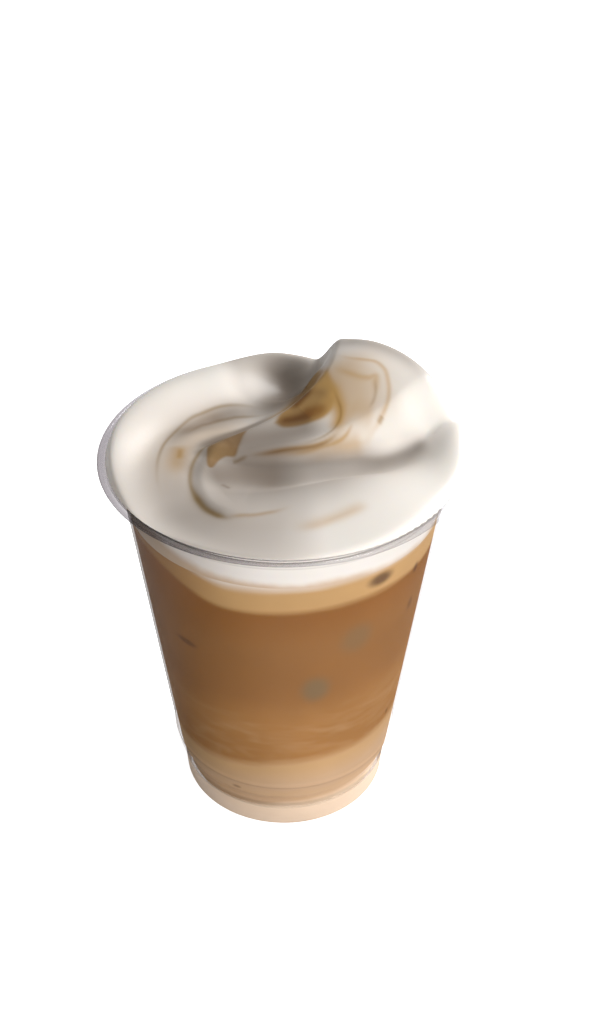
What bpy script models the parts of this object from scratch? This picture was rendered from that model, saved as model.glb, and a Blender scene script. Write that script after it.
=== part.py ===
"""Iced cafe mocha in a clear plastic cup, heaped with folded milk foam.

Metres, +Z up. The origin is the centre of the cup's foot, on the surface it stands on.
The drink is made of its layers, each one solid: milk, mocha, caramel froth and milk foam.
"""
import bpy
import numpy as np
from math import cos, pi, radians, sin

# One millimetre, and the gap kept between pieces that touch
MM = 0.001
GAP = 0.3 * MM
MERGE_DISTANCE = 0.01 * MM

# The turned pieces share their number of steps, so that their facets line up
STEPS = 72

# Cup: a 98 mm rolled rim on a tapered wall
CUP_HEIGHT = 110 * MM
RIM_RADIUS = 49 * MM
BEAD_RADIUS = 0.85 * MM
BEAD_POINTS = 11
WALL = 0.7 * MM
WALL_TOP_RADIUS = 43.5 * MM
WALL_TOP_HEIGHT = 107 * MM
WALL_FOOT_RADIUS = 29.6 * MM
MOUTH_FLARE = 3 * MM
UNDER_RIM = 106.4 * MM

# Stacking ridge round the wall
RIDGE_HEIGHT = 18 * MM
RIDGE_WIDTH = 2.4 * MM
RIDGE_PROUD = 0.4 * MM
RIDGE_POINTS = 5

# Neck that draws the wall in, and the upright foot below it
NECK_TOP = 13.5 * MM
NECK_RADIUS = 29.3 * MM
NECK_POINTS = 4
FOOT_TOP = 8.3 * MM
FOOT_LIP_RADIUS = 29.8 * MM
FOOT_RADIUS = 29.2 * MM
FOOT_INSIDE_RADIUS = 28.4 * MM
FOOT_ROUND = 1.0 * MM
FOOT_RING_INSIDE_RADIUS = 26 * MM
FOOT_RING_BEVEL = 0.6 * MM

# Raised floor of the cup
FLOOR_UNDERSIDE = 3.4 * MM
FLOOR_TOP = 4.1 * MM
FLOOR_CORNER = 2.5 * MM
CORNER_POINTS = 4

# Top of each layer of the drink
MILK_TOP = 28 * MM
MOCHA_TOP = 87.5 * MM
CARAMEL_TOP = 96.4 * MM

# Foam: its rings crowd towards the edge, where the sides are steep
FOAM_RINGS = 32
RING_CROWDING = 1.5

# From here on, places on the foam are in millimetres from the cup's axis, x to the right
# and y to the back, and heights are in millimetres above the rim
FOAM_EDGE_RADIUS = 46.9
FOAM_EDGE_DROP = 0.7
SHOULDER_START = 39
SHOULDER_POWER_LOW = 12
SHOULDER_POWER_HIGH = 2.6
SHOULDER_BULGE = -1.3
BULGE_GROWTH = 0.7

# Low foam that laps over the rim at the right: how far, the way it faces, its half width in
# degrees and the height at which it is full
LAP = 2.8
LAP_FACING = 0
LAP_HALF_WIDTH = 19
LAP_RISE = 1.5

# Heap at the back right: its peak, the way its narrow side faces, half widths and height
HEAP_PEAK = (29.1, 29.4)
HEAP_FACING = 42
HEAP_HALF_WIDTHS = (28.7, 34.9)
HEAP_ROUNDNESS = 2.3
HEAP_HEIGHT = 12.7
HEAP_SKIRT = 1.6
HEAP_SIDE = 3.0
HEAP_FRONT_GROWTH = 0.85
HEAP_LEFT_GROWTH = 0.45

# Lines where the heap ends, with the heap on their left: the fold in front, read from the
# left to the right, and the crease on its left side, read from the back to the front
HEAP_FRONT = [(-50, 8), (-30, 0), (-22, -4), (-16, -6.5), (-9, -7.5), (0, -7.5), (12, -7),
              (24, -5), (33, -2), (41, 3), (49, 8), (58, 14)]
HEAP_LEFT = [(12, 60), (9, 46), (6.5, 35), (5, 26.5), (1, 19.3), (-5, 13.2), (-12, 8.2),
             (-19, 3.2), (-30, -5), (-50, -20)]

# Routes of ridges, valleys and folds fade out over this share of their length at each end,
# and are smooth lines with this many steps between two of their points
END_STRETCH = 0.3
STEPS_PER_SPAN = 8

# Soft ridges: route, height and half width
RIDGES = [
    # long lobe that follows the rim at the back left
    ([(-38, -34), (-43, -16), (-44, 0), (-40, 14), (-31, 27), (-20, 34), (-8, 38), (4, 40)], 3.2, 9.0),
    # drawn-up edge between the pulled peak and the crease
    ([(11, 36), (7.5, 31.5), (4.5, 25), (0.5, 18.3), (-6, 12.3), (-12, 8)], 1.2, 3.0),
]

# Valleys: route, depth and half width
VALLEYS = [
    # pit behind the peak
    ([(4, 26), (2.5, 33), (1, 39), (0, 46)], 3.2, 6.0),
    # trough at the foot of the heap's steep left side
    ([(-2, 46), (-3, 36), (-6, 26), (-11, 18), (-19, 11), (-26.5, 2)], 2.4, 6.5),
    # shaded dip in front of the heap
    ([(-18, -13), (-6, -13), (4, -12.5), (14, -11), (25, -8), (34, -3), (42, 4), (48, 12)], 2.6, 5.0),
    # dip in front of the back lobe
    ([(-40, -20), (-37, -6), (-33, 5), (-26, 13), (-16, 18), (-6, 21), (4, 22)], 1.4, 4.5),
]

# Steps where one fold lies over the next: route with the high side on its left, rise,
# how far the high side reaches and how wide its lip is
SWIRL_LIP = [(0, 16.5), (-6, 12.2), (-12, 8), (-17.5, 3.5), (-21.2, -1), (-23.6, -6.5), (-24.3, -13.5),
             (-23.2, -20), (-20.4, -25.8), (-16.4, -29.8), (-11, -31.8), (-4, -31.4), (3, -29.6)]
HEAP_FOOT = [(-16, -6.5), (-9, -7), (0, -7), (12, -6), (20, -4.4), (28, -2.6), (34, -0.4), (39, 3), (44, 9)]
FOLDS = [(SWIRL_LIP, 1.1, 9.0, 4.0), (HEAP_FOOT, 1.6, 9.0, 2.0)]

# Rounded swellings and hollows: centre, half widths and height
SWELLINGS = [
    # dome at the front right
    ((22, -22), (22, 14), 3.4),
    # hollow in the swirl
    ((-12, -17), (12, 11), -1.0),
    # low place at the front left
    ((-27, -27), (10, 9), -1.6),
    # shoulder over the rim at the right
    ((45.5, 2), (6, 15), 5.3),
    # small pulled peak
    ((7.5, 31.5), (2.6, 2.6), 2.6),
    # foam drawn up against the rim at the back
    ((-1, 44), (13, 5.5), 4.0),
    # rounded corner of the heap
    ((14, 39), (7, 7), -0.7),
]


def on_circle(centre, radius, start, end, count):
    """Points on an arc in the profile plane, angles in degrees from +r towards +z."""
    angles = [radians(start + (end - start) * i / (count - 1)) for i in range(count)]
    return [(centre[0] + radius * cos(a), centre[1] + radius * sin(a)) for a in angles]


def wall_radius(z):
    """Outer radius of the tapered wall at a height."""
    return WALL_FOOT_RADIUS + (WALL_TOP_RADIUS - WALL_FOOT_RADIUS) * z / WALL_TOP_HEIGHT


def neck(low_radius, high_radius):
    """Radii and heights where the wall draws in to the foot, from the top down."""
    points = []
    for i in range(NECK_POINTS):
        t = i / (NECK_POINTS - 1)
        ease = (1 - cos(pi * t)) / 2
        points.append((high_radius + (low_radius - high_radius) * ease,
                       NECK_TOP + (FOOT_TOP + FOOT_ROUND - NECK_TOP) * t))
    return points


def inside_profile():
    """The cup's inner side, from the floor's corner up to the mouth."""
    corner_centre = (FOOT_INSIDE_RADIUS - FLOOR_CORNER, FLOOR_TOP + FLOOR_CORNER)
    corner = on_circle(corner_centre, FLOOR_CORNER, -90, 0, CORNER_POINTS)
    drawn_in = neck(FOOT_INSIDE_RADIUS, wall_radius(NECK_TOP) - WALL)[::-1]
    mouth_low = CUP_HEIGHT - BEAD_RADIUS - MOUTH_FLARE
    mouth = [(wall_radius(mouth_low) - WALL, mouth_low),
             (RIM_RADIUS - 2 * BEAD_RADIUS, CUP_HEIGHT - BEAD_RADIUS)]
    return corner + drawn_in + mouth


def ridge_profile():
    """The stacking ridge's section, from the top down."""
    points = []
    for i in range(RIDGE_POINTS):
        t = i / (RIDGE_POINTS - 1)
        z = RIDGE_HEIGHT + RIDGE_WIDTH * (0.5 - t)
        points.append((wall_radius(z) + RIDGE_PROUD * sin(pi * t), z))
    return points


def cup_profile():
    """The cup's whole section: up the inside, over the bead and down the outside."""
    bead_centre = (RIM_RADIUS - BEAD_RADIUS, CUP_HEIGHT - BEAD_RADIUS)
    bead = on_circle(bead_centre, BEAD_RADIUS, 180, -110, BEAD_POINTS)
    outside = [(wall_radius(UNDER_RIM) + WALL, UNDER_RIM),
               (wall_radius(UNDER_RIM - WALL), UNDER_RIM - 2 * WALL)]
    foot_round = on_circle((FOOT_RADIUS - FOOT_ROUND, FOOT_ROUND), FOOT_ROUND, 0, -90, CORNER_POINTS)
    ring_inside = [(FOOT_RING_INSIDE_RADIUS, 0), (FOOT_RING_INSIDE_RADIUS - FOOT_RING_BEVEL, FLOOR_UNDERSIDE)]
    return ([(0, FLOOR_TOP)] + inside_profile()[:-1] + bead + outside + ridge_profile()
            + neck(NECK_RADIUS, wall_radius(NECK_TOP)) + [(FOOT_LIP_RADIUS, FOOT_TOP)]
            + foot_round + ring_inside + [(0, FLOOR_UNDERSIDE)])


def layer_side(low, high):
    """The side of a layer that fills the cup between two heights, from the top down."""
    inner = inside_profile()
    heights = [z for r, z in inner]
    radii = [r for r, z in inner]
    between = [z for z in heights if low < z < high]
    return [(float(np.interp(z, heights, radii)) - GAP, z) for z in [high] + between[::-1] + [low]]


def material(name, colour, roughness, transmission=0.0, ior=1.45):
    """A plain Principled material; colours are linear."""
    made = bpy.data.materials.new(name)
    made.use_nodes = True
    shader = made.node_tree.nodes["Principled BSDF"]
    shader.inputs["Base Color"].default_value = (*colour, 1)
    shader.inputs["Roughness"].default_value = roughness
    shader.inputs["Transmission Weight"].default_value = transmission
    shader.inputs["IOR"].default_value = ior
    return made


def turned(name, profile, finish, collection):
    """A piece turned about the Z axis from its profile of (radius, height) points."""
    mesh = bpy.data.meshes.new(name)
    mesh.from_pydata([(r, 0, z) for r, z in profile], [(i, i + 1) for i in range(len(profile) - 1)], [])
    mesh.materials.append(finish)
    piece = bpy.data.objects.new(name, mesh)
    collection.objects.link(piece)
    screw = piece.modifiers.new("Turn", "SCREW")
    screw.axis = "Z"
    screw.steps = STEPS
    screw.render_steps = STEPS
    screw.use_merge_vertices = True
    screw.merge_threshold = MERGE_DISTANCE
    screw.use_smooth_shade = True
    return piece


def along(route):
    """A smooth line through the route's points."""
    points = np.array(route, float)
    ends = np.vstack([2 * points[0] - points[1], points, 2 * points[-1] - points[-2]])
    line = []
    for a, b, c, d in zip(ends[:-3], ends[1:-2], ends[2:-1], ends[3:]):
        for t in np.arange(STEPS_PER_SPAN) / STEPS_PER_SPAN:
            line.append(0.5 * (2 * b + (c - a) * t + (2 * a - 5 * b + 4 * c - d) * t ** 2
                               + (3 * b - a - 3 * c + d) * t ** 3))
    return np.array(line + [points[-1]])


def nearest_on(places, line):
    """Distance from each place to a line, negative on its right, and the share of the way there."""
    side = line[1:] - line[:-1]
    offset = places[:, None] - line[None, :-1]
    t = np.clip((offset * side).sum(2) / (side ** 2).sum(1), 0, 1)
    gap = offset - t[..., None] * side
    length = np.linalg.norm(gap, axis=2)
    span = length.argmin(axis=1)
    row = np.arange(len(places))
    left = side[span, 0] * gap[row, span, 1] - side[span, 1] * gap[row, span, 0]
    return np.where(left < 0, -1, 1) * length[row, span], (span + t[row, span]) / len(side)


def eased(share):
    """From 0 to 1, starting and ending softly."""
    share = np.clip(share, 0, 1)
    return share ** 2 * (3 - 2 * share)


def fade_at_ends(share):
    """1 along a route, and down to 0 over its two end stretches."""
    return eased(np.minimum(share, 1 - share) / END_STRETCH)


def ridge_height(places, route, rise, half_width):
    """A soft ridge along a route, which fades out at its ends."""
    distance, share = nearest_on(places, along(route))
    return rise * np.exp(-(distance / half_width) ** 2) * fade_at_ends(share)


def fold_height(places, route, rise, reach, lip):
    """A step along a route, high on its left and fading away from the edge and at its ends."""
    distance, share = nearest_on(places, along(route))
    return rise * fade_at_ends(share) * eased(distance / lip) * np.exp(-(distance / reach) ** 2)


def heap_height(places):
    """The heap's dome, which rolls over along its two lines; higher sides are wider."""
    facing = radians(HEAP_FACING)
    turn = np.array([[cos(facing), -sin(facing)], [sin(facing), cos(facing)]])
    share = (places - np.array(HEAP_PEAK)) @ turn / np.array(HEAP_HALF_WIDTHS)
    height = HEAP_HEIGHT * np.exp(-np.linalg.norm(share, axis=1) ** HEAP_ROUNDNESS) + HEAP_SKIRT
    dome = height
    for line, growth in ((HEAP_FRONT, HEAP_FRONT_GROWTH), (HEAP_LEFT, HEAP_LEFT_GROWTH)):
        height = height * eased(nearest_on(places, along(line))[0] / (HEAP_SIDE + growth * dome))
    return height


def foam_relief(places):
    """Height of the foam over the rim at each place, before its edge turns down."""
    height = heap_height(places)
    for route, rise, half_width in RIDGES:
        height = height + ridge_height(places, route, rise, half_width)
    for route, depth, half_width in VALLEYS:
        height = height - ridge_height(places, route, depth, half_width)
    for route, rise, reach, lip in FOLDS:
        height = height + fold_height(places, route, rise, reach, lip)
    for centre, half_widths, rise in SWELLINGS:
        share = (places - np.array(centre)) / np.array(half_widths)
        height = height + rise * np.exp(-(share ** 2).sum(axis=1))
    return height


def foam_surface(places):
    """Places and heights of the foam, with its edge turned down to the rim.

    Low foam turns down close to the wall, and laps over the rim at the right. The heap turns
    down over its whole shoulder and draws in a little.
    """
    height = foam_relief(places)
    radius = np.linalg.norm(places, axis=1)
    out = np.clip((radius - SHOULDER_START) / (FOAM_EDGE_RADIUS - SHOULDER_START), 0, 1)
    heaped = np.clip(height / HEAP_HEIGHT, 0, 1)
    power = SHOULDER_POWER_LOW + (SHOULDER_POWER_HIGH - SHOULDER_POWER_LOW) * np.sqrt(heaped)
    turned_down = np.sqrt(1 - out ** power)
    height = (height + FOAM_EDGE_DROP) * turned_down - FOAM_EDGE_DROP
    swell = SHOULDER_BULGE * heaped ** BULGE_GROWTH * out * np.sin(pi * turned_down)
    facing = np.degrees(np.arctan2(places[:, 1], places[:, 0])) - LAP_FACING
    swell += LAP * np.exp(-(facing / LAP_HALF_WIDTH) ** 2) * out ** 3 * eased(height / LAP_RISE)
    return places * (1 + swell / np.maximum(radius, 1))[:, None], height


def make_foam(finish, collection):
    """A turned blank whose top is pushed up or down into the foam's folds."""
    edge = FOAM_EDGE_RADIUS * MM
    edge_height = CUP_HEIGHT - FOAM_EDGE_DROP * MM
    radii = [edge * (1 - (1 - i / FOAM_RINGS) ** RING_CROWDING) for i in range(FOAM_RINGS + 1)]
    bottom = CARAMEL_TOP + GAP
    side = layer_side(bottom, CUP_HEIGHT - BEAD_RADIUS)[1:]
    blank = turned("foam_blank", [(r, edge_height) for r in radii] + side + [(0, bottom)], finish, collection)
    evaluated = blank.evaluated_get(bpy.context.evaluated_depsgraph_get())
    mesh = bpy.data.meshes.new_from_object(evaluated)
    bpy.data.objects.remove(blank)
    mesh.name = "milk_foam"
    points = np.array([vertex.co for vertex in mesh.vertices])
    top = points[:, 2] > edge_height - GAP
    places, heights = foam_surface(points[top, :2] / MM)
    points[top] = np.column_stack([places * MM, CUP_HEIGHT + heights * MM])
    mesh.vertices.foreach_set("co", points.ravel())
    mesh.update()
    foam = bpy.data.objects.new("milk_foam", mesh)
    collection.objects.link(foam)
    return foam


def make_layers(collection):
    """The layers that show through the wall, from the floor up."""
    milk = material("milk", (0.60, 0.42, 0.27), 0.35)
    mocha = material("mocha", (0.27, 0.13, 0.055), 0.3)
    caramel = material("caramel_froth", (0.56, 0.34, 0.17), 0.4)
    layers = [("milk_layer", FLOOR_TOP + GAP, MILK_TOP, milk),
              ("mocha_layer", MILK_TOP + GAP, MOCHA_TOP, mocha),
              ("caramel_froth", MOCHA_TOP + GAP, CARAMEL_TOP, caramel)]
    for name, low, high, finish in layers:
        turned(name, [(0, high)] + layer_side(low, high) + [(0, low)], finish, collection)


def main():
    for old in list(bpy.data.objects):
        bpy.data.objects.remove(old)
    collection = bpy.data.collections.new("cafe_mocha")
    bpy.context.scene.collection.children.link(collection)
    clear_plastic = material("clear_plastic", (0.97, 0.97, 0.97), 0.05, transmission=1.0, ior=1.57)
    turned("cup", cup_profile(), clear_plastic, collection)
    make_layers(collection)
    make_foam(material("milk_foam", (0.86, 0.82, 0.75), 0.55), collection)


main()
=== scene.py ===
"""Iced cafe mocha in a clear cup: the finished cup, layered drink and folded foam, with their stage.

Laid out as an add-on: sizes and colours are properties, each piece has its operator, and the
panel lists them. Metres, +Z up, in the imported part's own frame.
"""
from math import cos, pi, radians, sin

import bpy
import numpy as np
from bpy.props import FloatProperty, FloatVectorProperty, IntProperty, PointerProperty
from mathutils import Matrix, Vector


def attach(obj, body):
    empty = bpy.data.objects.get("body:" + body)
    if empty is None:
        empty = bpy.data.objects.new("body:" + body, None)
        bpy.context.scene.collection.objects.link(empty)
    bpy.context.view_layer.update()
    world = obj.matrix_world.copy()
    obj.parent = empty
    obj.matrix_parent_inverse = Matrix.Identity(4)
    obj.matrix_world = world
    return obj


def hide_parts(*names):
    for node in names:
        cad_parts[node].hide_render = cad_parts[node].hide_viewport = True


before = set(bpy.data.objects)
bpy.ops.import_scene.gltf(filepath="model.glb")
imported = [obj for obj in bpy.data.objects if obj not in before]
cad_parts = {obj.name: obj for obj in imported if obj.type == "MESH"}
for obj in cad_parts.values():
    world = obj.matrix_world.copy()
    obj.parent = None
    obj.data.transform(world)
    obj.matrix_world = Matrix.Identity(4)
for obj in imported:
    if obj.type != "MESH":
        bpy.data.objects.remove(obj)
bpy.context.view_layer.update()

bl_info = {
    "name": "Iced Cafe Mocha",
    "version": (1, 0),
    "blender": (4, 5, 0),
    "location": "View3D > Sidebar > Drink",
    "description": "Builds a clear cup of layered mocha under folded milk foam",
    "category": "Add Mesh",
}

MM = 0.001

# Picture: its size, the lens and where the cup's axis crosses it, in pixels; the sensor's
# width in millimetres
PICTURE_WIDTH = 615
PICTURE_HEIGHT = 1024
LENS_PIXELS = 1524.8
AXIS_PIXEL = 284.2
SENSOR = 36

# Stage: its lamps, its floor, and how brightly the camera sees the floor
LIGHT_DISTANCE = 1.2
LIGHT_SIZE = 0.55
FLOOR_SIZE = 8
FLOOR_GLOW = 0.85

# Corners flatter than this are shaded smooth
SMOOTH_ANGLE = radians(50)

# Cup profile, in metres
CUP_HEIGHT = 110 * MM
RIM_RADIUS = 49 * MM
BEAD_RADIUS = 0.85 * MM
BEAD_POINTS = 15
WALL = 0.7 * MM
WALL_TOP_RADIUS = 43.5 * MM
WALL_TOP_HEIGHT = 107 * MM
WALL_FOOT_RADIUS = 29.6 * MM
MOUTH_FLARE = 3 * MM
UNDER_RIM = 106.4 * MM
STEP_HEIGHT = 103.6 * MM
RIDGE_HEIGHT = 18 * MM
RIDGE_WIDTH = 2.4 * MM
RIDGE_PROUD = 0.4 * MM
RIDGE_POINTS = 9
NECK_TOP = 13.5 * MM
NECK_RADIUS = 29.3 * MM
NECK_POINTS = 8
FOOT_TOP = 8.3 * MM
FOOT_LIP_RADIUS = 29.8 * MM
FOOT_RADIUS = 29.2 * MM
FOOT_INSIDE_RADIUS = 28.4 * MM
FOOT_ROUND = 1.0 * MM
FOOT_RING_INSIDE_RADIUS = 26 * MM
FOOT_RING_BEVEL = 0.6 * MM
FLOOR_UNDERSIDE = 3.4 * MM
FLOOR_TOP = 4.1 * MM
FLOOR_CORNER = 2.5 * MM
CORNER_POINTS = 8

# Layers of the drink, and how far they reach into the wall
MILK_TOP = 28 * MM
MOCHA_TOP = 87.5 * MM
CARAMEL_TOP = 96.4 * MM
REACH = 0.15 * MM

# Foam mesh: rings of the cage, how often each face is split, and what is relaxed
FOAM_STEPS = 120
FOAM_RINGS = 48
RING_CROWDING = 1.3
FOAM_CUTS = 3
RELAX_STEPS = 14
RELAX_RADIUS = 45 * MM
LEVEL_TOLERANCE = 0.1 * MM

# Foam relief: places in millimetres from the axis, heights in millimetres above the rim

# Its edge at the wall, and the shoulder that turns down to it: the lower power gives heaped foam
# a round shoulder, the higher one low foam a square one, and the heap draws in on its way down
FOAM_EDGE_RADIUS = 46.9
FOAM_EDGE_DROP = 0.7
SHOULDER_START = 39
LOW_FOAM_POWER = 12
HEAP_POWER = 2.6
HEAP_DRAW_IN = 1.3
DRAW_IN_GROWTH = 0.7

# Lap over the rim at the right: how far, over how many degrees, and the height that laps in full
LAP = 2.8
LAP_HALF_WIDTH = 19
LAP_RISE = 1.5

# Heap: its dome, the lines along which it rolls over, and how wide those sides are, with what
# they gain where the dome is high
HEAP_PEAK = (29.1, 29.4)
HEAP_FACING = 42
HEAP_HALF_WIDTHS = (28.7, 34.9)
HEAP_ROUNDNESS = 2.3
HEAP_HEIGHT = 12.7
HEAP_SKIRT = 1.6
HEAP_SIDE = 3.0
HEAP_FRONT_GROWTH = 0.85
HEAP_LEFT_GROWTH = 0.45
HEAP_FRONT = [(-50, 8), (-30, 0), (-22, -4), (-16, -6.5), (-9, -7.5), (0, -7.5), (12, -7),
              (24, -5), (33, -2), (41, 3), (49, 8), (58, 14)]
HEAP_LEFT = [(12, 60), (9, 46), (6.5, 35), (5, 26.5), (1, 19.3), (-5, 13.2), (-12, 8.2),
             (-19, 3.2), (-30, -5), (-50, -20)]

# Routes: how much of each end fades out, and the steps from point to point
END_STRETCH = 0.3
STEPS_PER_SPAN = 8

# Soft ridges: route, height and half width
RIDGES = [
    # long lobe that follows the rim at the back left
    ([(-38, -34), (-43, -16), (-44, 0), (-40, 14), (-31, 27), (-20, 34), (-8, 38), (4, 40)], 3.2, 9.0),
    # drawn-up edge between the pulled peak and the crease
    ([(11, 36), (7.5, 31.5), (4.5, 25), (0.5, 18.3), (-6, 12.3), (-12, 8)], 1.2, 3.0),
]

# Valleys: route, depth and half width
VALLEYS = [
    # pit behind the peak
    ([(4, 26), (2.5, 33), (1, 39), (0, 46)], 3.2, 6.0),
    # trough at the foot of the heap's steep left side
    ([(-2, 46), (-3, 36), (-6, 26), (-11, 18), (-19, 11), (-26.5, 2)], 2.4, 6.5),
    # shaded dip in front of the heap
    ([(-18, -13), (-6, -13), (4, -12.5), (14, -11), (25, -8), (33, -4), (39, 1)], 2.6, 5.0),
    # dip in front of the back lobe
    ([(-40, -20), (-37, -6), (-33, 5), (-26, 13), (-16, 18), (-6, 21), (4, 22)], 1.4, 4.5),
]

# Steps where one fold lies over the next: route with the high side on its left, rise,
# how far the high side reaches and how wide its lip is
SWIRL_LIP = [(0, 16.5), (-6, 12.2), (-12, 8), (-17.5, 3.5), (-21.2, -1), (-23.6, -6.5), (-24.3, -13.5),
             (-23.2, -20), (-20.4, -25.8), (-16.4, -29.8), (-11, -31.8), (-4, -31.4), (3, -29.6)]
HEAP_FOOT = [(-16, -6.5), (-9, -7), (0, -7), (12, -6), (20, -4.4), (28, -2.6), (34, -0.4), (39, 3), (44, 9)]
FOLDS = [(SWIRL_LIP, 1.1, 9.0, 4.0), (HEAP_FOOT, 1.6, 9.0, 2.0)]

# Rounded swellings and hollows: centre, half widths and height
SWELLINGS = [
    # dome at the front right
    ((22, -22), (22, 14), 3.4),
    # hollow in the swirl
    ((-12, -17), (12, 11), -1.0),
    # low place at the front left
    ((-27, -27), (10, 9), -1.6),
    # shoulder over the rim at the right
    ((46, 1), (9.5, 14), 6.0),
    # small pulled peak
    ((7.5, 31.5), (2.6, 2.6), 2.6),
    # foam drawn up against the rim at the back
    ((-1, 44), (13, 5.5), 4.0),
    # rounded corner of the heap
    ((14, 39), (7, 7), -0.7),
]

# Marbling and painted shade on the foam, in millimetres from the axis. A stroke has a route, half
# widths on its left and right, and a strength; a patch has an outline that turns left, a soft
# edge and a strength.

# Painted shade: foam darkened where shade falls, in the trough beside the heap, in hollows and
# creases, in front of the heap and over the dim front; the last stroke is a small grey fleck
SHADE_STROKES = [
    # trough beside the heap
    ([(1, 50), (1, 42), (0.5, 35), (-0.5, 29), (-3, 23), (-7, 18)], 11.5, 7.5, 0.9),
    # foot of the heap's edge, round to the swirl's outer side
    ([(-1, 24), (-5, 17.5), (-10, 12.8), (-15, 9.5), (-19, 4.5), (-22, 0), (-24, -5)], 6.6, 2.5, 0.81),
    # band under the hair lines
    ([(-2, 25), (-10, 23.5), (-16, 20.5), (-21, 16.8), (-25.5, 12.5), (-29, 7), (-31, 1)], 3.4, 3.2, 0.72),
    # broad bank from the back lobe's foot round to the front
    ([(-14, 28), (-24, 21), (-31, 12), (-34, 2), (-33, -10), (-28, -24), (-18, -36), (-4, -44),
      (12, -48)], 13.0, 6.2, 0.38),
    ([(-31, 0), (-30, -12), (-26, -22), (-19, -31), (-8, -36), (4, -37), (11, -37)], 15.1, 17.4, 0.41),
    # hollow of the swirl
    ([(-23, -16), (-18, -12.5), (-11, -11), (-2, -11.5), (8, -12)], 11.2, 7.9, 0.86),
    # crease in front of the heap, crisp along the heap's foot
    ([(-20, -7.6), (-13, -6.8), (-4, -6.9), (5, -6.5), (12, -5.6), (19, -4.3), (25, -2.4),
      (30, -0.8)], 1.4, 11.4, 0.56),
    ([(16, -6.5), (24, -5), (30, -2.5), (35, -0.5), (38, 0.5)], 1.8, 4.0, 0.62),
    # basin in front of it
    ([(-24, -20), (-12, -20), (0, -20), (12, -17), (24, -12)], 2.2, 9.1, 0.35),
    # tongue
    ([(-20, -3), (-14, 0), (-7, 1), (1, 1.5), (8, 3), (12, 6)], 8.8, 7.3, 0.8),
    ([(-14, -3), (-7, -2.5), (1, -2.5), (9, -2)], 1.5, 3.0, 0.17),
    # far side and middle of the heap
    ([(10, 40), (18, 35), (27, 29.5), (36, 21), (43, 11)], 6.6, 3.4, 0.51),
    ([(-2, 14), (4, 15), (9, 15), (13, 13)], 2.4, 8.1, 0.38),
    # against the rim at the back
    ([(-20, 42), (-10, 45), (2, 47)], 6.6, 25.9, 0.36),
    # fleck
    ([(-16.2, -15.3), (-14.8, -16.3), (-13.4, -17.3)], 0.6, 0.6, 0.6),
]

# Caramel drawn through the foam
CARAMEL_STROKES = [
    # band between the hair lines
    ([(-15, 21.2), (-19, 19), (-23, 15.8), (-26, 12), (-28, 8)], 1.6, 1.6, 0.23),
    # cream round the swirl, and the wash that follows it to the front
    ([(-6, 16.5), (-13, 15.5), (-19, 11), (-24, 4), (-27, -4), (-27.5, -12), (-25, -22)], 3.4, 7.6, 0.33),
    ([(-25, -12), (-24, -21), (-18, -31), (-8, -34.5), (4, -34.5), (16, -31.5)], 7.8, 1.9, 0.04),
    # foot of the lip
    ([(-5, 15.5), (-9, 12.8), (-13, 10.4), (-16.5, 7.5), (-19.5, 4), (-21.5, 0)], 1.1, 2.0, 0.16),
    # ochre spot and its halo
    ([(-27.2, 1.2), (-27.3, -2), (-27.4, -5.2)], 1.1, 0.8, 0.68),
    ([(-28, 3), (-28, -2), (-28, -13)], 2.6, 2.2, 0.5),
    # second line at the front
    ([(-14.9, -29.5), (-12.5, -29.9), (-10, -29.9), (-7.2, -29.9), (-4.3, -29.3), (-1.4, -28.6),
      (2.5, -27)], 0.7, 0.8, 0.49),
    # short streak at the front
    ([(1, -36), (7, -35), (13.5, -32.4), (18, -30), (21.5, -28)], 2.1, 1.6, 0.39),
    # outer loop on the heap
    ([(13.5, 29.5), (15.3, 27.7), (17.3, 26), (19.7, 24.7), (22, 23.7), (24.7, 22.3), (26.7, 19.3),
      (27.4, 16.3),
      (27.7, 12), (27.3, 8), (26.3, 5), (25, 2.6), (23.8, 0.8), (22, -1.3), (19.8, -2.8)], 0.6, 0.7, 0.5),
    # inner loop
    ([(12.5, 25.5), (14.5, 22.3), (17, 20), (20, 17.6), (22.6, 16.5), (24.2, 16.8), (24.3, 14.7), (24.2, 12),
      (23.3, 9)], 1.1, 1.1, 0.49),
    # band down the heap's middle, and its lines at the foot
    ([(9.5, 20.5), (11.8, 18.4), (13.2, 14.7), (14.3, 10), (14.8, 6.3), (14.2, 3), (13.2, 0),
      (10.7, -2)], 2.2, 2.1, 0.96),
    ([(14.5, 0.3), (12, -2.4), (8.7, -3.7), (5.3, -4.2), (0.3, -4.5), (-5, -4.9), (-11, -5)], 0.7, 0.7, 0.76),
    ([(17.6, 2), (17.3, 0.5), (16, -1.5), (13.7, -3), (10, -4.1), (5.3, -5), (0, -5.3),
      (-8, -5.2)], 0.5, 0.5, 0.66),
    ([(23, -1.4), (20, -2.9), (17, -3.6), (13, -4.4), (8, -5.3), (2, -5.8)], 1.1, 0.7, 0.42),
    # warm wash over the heap's middle
    ([(13, 31), (15.5, 23), (18.5, 15), (19, 8), (18, 0)], 8.1, 13.1, 0.57),
    ([(16, 7), (20, 5.5), (24.5, 5)], 3.0, 6.5, 0.4),
    ([(9, -2.5), (16, -3), (21, -1.5)], 1.6, 1.6, 0.45),
    # heap's steep edge
    ([(7, 36), (5.4, 30), (4.2, 25), (2.2, 20), (-2, 15), (-8, 10.5)], 2.9, 2.4, 0.97),
]
CARAMEL_PATCHES = [
    # patch on the tongue's end
    ([(-20, 0), (-20.1, -4.3), (-19.7, -8.4), (-18.4, -8.9), (-16.9, -6), (-15.2, -4.9), (-12.7, -4.8),
      (-11.8, -1.9), (-10.8, 2.4), (-9.4, 7.4), (-13, 6.4), (-17.6, 2.5)], 0.9, 0.88),
    # stain round the dark marbling
    ([(-2.3, 7.3), (-0.4, 5), (3, 4.4), (7, 5), (10.5, 6.2), (13, 9), (13.6, 13), (13, 18), (11.6, 24),
      (9, 32),
      (5, 30), (5, 22), (2.5, 14.5), (-1, 11)], 2.0, 0.96),
]

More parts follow.
